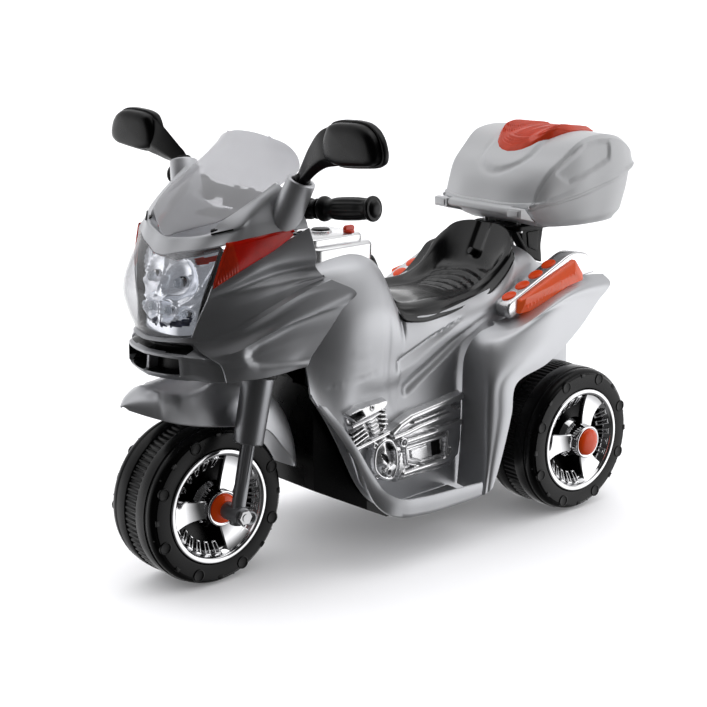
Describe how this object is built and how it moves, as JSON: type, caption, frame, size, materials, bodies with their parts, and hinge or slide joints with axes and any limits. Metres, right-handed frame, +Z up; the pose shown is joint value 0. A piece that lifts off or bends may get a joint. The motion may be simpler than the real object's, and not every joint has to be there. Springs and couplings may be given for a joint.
{
  "type": "ride-on toy motorbike",
  "caption": "Battery ride-on motorbike for a small child: steered front wheel under a fairing with windshield, seat shell, rear wheels with side pods, and a hinged top case.",
  "frame": {"origin": "on the ground, under the middle of the bike", "axes": "+X forward, +Y to the rider's left, +Z up"},
  "size_m": [0.817, 0.528, 0.578],
  "materials": {
    "body_grey": "injection-moulded, glossy silver grey",
    "case_grey": "moulded, glossy light grey",
    "black_plastic": "moulded, satin black",
    "seat_black": "moulded, glossy black",
    "tyre_black": "blow-moulded, satin black",
    "chrome_look": "vacuum-metallised plastic, chrome look",
    "orange_cap": "moulded, orange red",
    "red_lens": "transparent red moulding",
    "clear_lens": "clear moulding",
    "steel": "zinc-plated steel",
    "nylon": "natural nylon",
    "mirror_foil": "mirror foil",
    "grip_black": "soft black grip",
    "device_grey": "dark grey housing"
  },
  "bodies": {
    "chassis": {"chassis_tub": "black_plastic", "body_shell_left": "body_grey", "body_shell_right": "body_grey", "foot_rests": "body_grey", "rear_pods": "body_grey", "lamp_trims": "chrome_look", "lamp_bars": "red_lens", "marker_domes": "orange_cap", "seat": "seat_black", "steering_bushes": "nylon", "charge_socket": "black_plastic", "engine_panels": "chrome_look", "console": "chrome_look", "rack_bracket": "black_plastic", "top_case_base": "case_grey", "case_bolts": "steel", "rear_axle": "steel", "rear_axle_nuts": "steel", "motor": "steel", "gearbox_cover": "black_plastic", "gearbox_case": "black_plastic", "battery": "device_grey", "control_box": "device_grey", "pedal_bracket": "black_plastic"},
    "steering": {"fork_legs": "body_grey", "steering_stem": "steel", "handlebar": "steel", "grips": "grip_black", "front_mudguard": "body_grey", "nose_fairing": "body_grey", "upper_cowl": "body_grey", "headlamp_lens": "clear_lens", "headlamp_reflector": "chrome_look", "lamp_bulbs": "clear_lens", "turn_lenses": "red_lens", "windshield": "clear_lens", "front_axle": "steel", "front_axle_nuts": "steel"},
    "front_wheel": {"front_tyre": "tyre_black", "front_covers": "chrome_look", "front_caps": "orange_cap"},
    "rear_wheel_left": {"rear_tyre_left": "tyre_black", "rear_cover_left": "chrome_look", "rear_cap_left": "orange_cap"},
    "rear_wheel_right": {"rear_tyre_right": "tyre_black", "rear_cover_right": "chrome_look", "rear_cap_right": "orange_cap", "drive_gear": "nylon"},
    "idler": {"idler_gear": "nylon"},
    "motor_rotor": {"motor_pinion": "steel"},
    "case_lid": {"top_case_lid": "case_grey", "lid_reflector": "red_lens"},
    "left_mirror": {"mirror_left": "black_plastic", "mirror_glass_left": "mirror_foil"},
    "right_mirror": {"mirror_right": "black_plastic", "mirror_glass_right": "mirror_foil"},
    "key": {"key_knob": "red_lens"},
    "horn": {"horn_button": "black_plastic"},
    "rocker": {"direction_rocker": "black_plastic"},
    "pedal": {"accelerator_pedal": "black_plastic"}
  },
  "joints": [
    {"name": "steering_turn", "type": "hinge", "parent": "chassis", "child": "steering", "pos_m": [0.3015, 0, 0.1], "axis": [-0.2079, 0, 0.9781], "range_deg": [-18, 18]},
    {"name": "front_wheel_spin", "type": "hinge", "parent": "steering", "child": "front_wheel", "pos_m": [0.3015, 0, 0.1], "axis": [0, 1, 0], "continuous": true},
    {"name": "rear_left_spin", "type": "hinge", "parent": "chassis", "child": "rear_wheel_left", "pos_m": [-0.2335, 0.112, 0.1], "axis": [0, 1, 0], "continuous": true},
    {"name": "rear_right_spin", "type": "hinge", "parent": "chassis", "child": "rear_wheel_right", "pos_m": [-0.2335, -0.112, 0.1], "axis": [0, 1, 0], "continuous": true},
    {"name": "idler_spin", "type": "hinge", "parent": "chassis", "child": "idler", "pos_m": [-0.19, -0.04, 0.1], "axis": [0, 1, 0], "continuous": true},
    {"name": "motor_spin", "type": "hinge", "parent": "chassis", "child": "motor_rotor", "pos_m": [-0.16932, -0.03, 0.11736], "axis": [0, 1, 0], "continuous": true},
    {"name": "lid_hinge", "type": "hinge", "parent": "chassis", "child": "case_lid", "pos_m": [-0.1865, 0, 0.411], "axis": [0, 1, 0], "range_deg": [0, 75]},
    {"name": "left_mirror_swivel", "type": "hinge", "parent": "steering", "child": "left_mirror", "pos_m": [0.2275, 0.117, 0.499], "axis": [-0.179, 0.409, 0.8948], "range_deg": [-20, 20]},
    {"name": "right_mirror_swivel", "type": "hinge", "parent": "steering", "child": "right_mirror", "pos_m": [0.2275, -0.117, 0.499], "axis": [-0.179, -0.409, 0.8948], "range_deg": [-20, 20]},
    {"name": "key_turn", "type": "hinge", "parent": "chassis", "child": "key", "pos_m": [0.0765, 0.026, 0.408], "axis": [0, 0, 1], "range_deg": [0, 60]},
    {"name": "direction_rock", "type": "hinge", "parent": "chassis", "child": "rocker", "pos_m": [0.1285, -0.012, 0.402], "axis": [0, 1, 0], "range_deg": [-10, 10]},
    {"name": "pedal_press", "type": "hinge", "parent": "chassis", "child": "pedal", "pos_m": [0.0025, -0.119, 0.074], "axis": [0, 1, 0], "range_deg": [0, 8], "stiffness_Nm_per_rad": 1.2, "springref_deg": -8.59},
    {"name": "horn_press", "type": "slide", "parent": "chassis", "child": "horn", "axis": [0, 0, -1], "range_m": [0, 0.003], "stiffness_N_per_m": 300, "springref_m": -0.002}
  ],
  "couplings": [
    {"joint": "idler_spin", "follows": "rear_right_spin", "ratio": -3.1429},
    {"joint": "motor_spin", "follows": "rear_right_spin", "ratio": 8.9796}
  ]
}
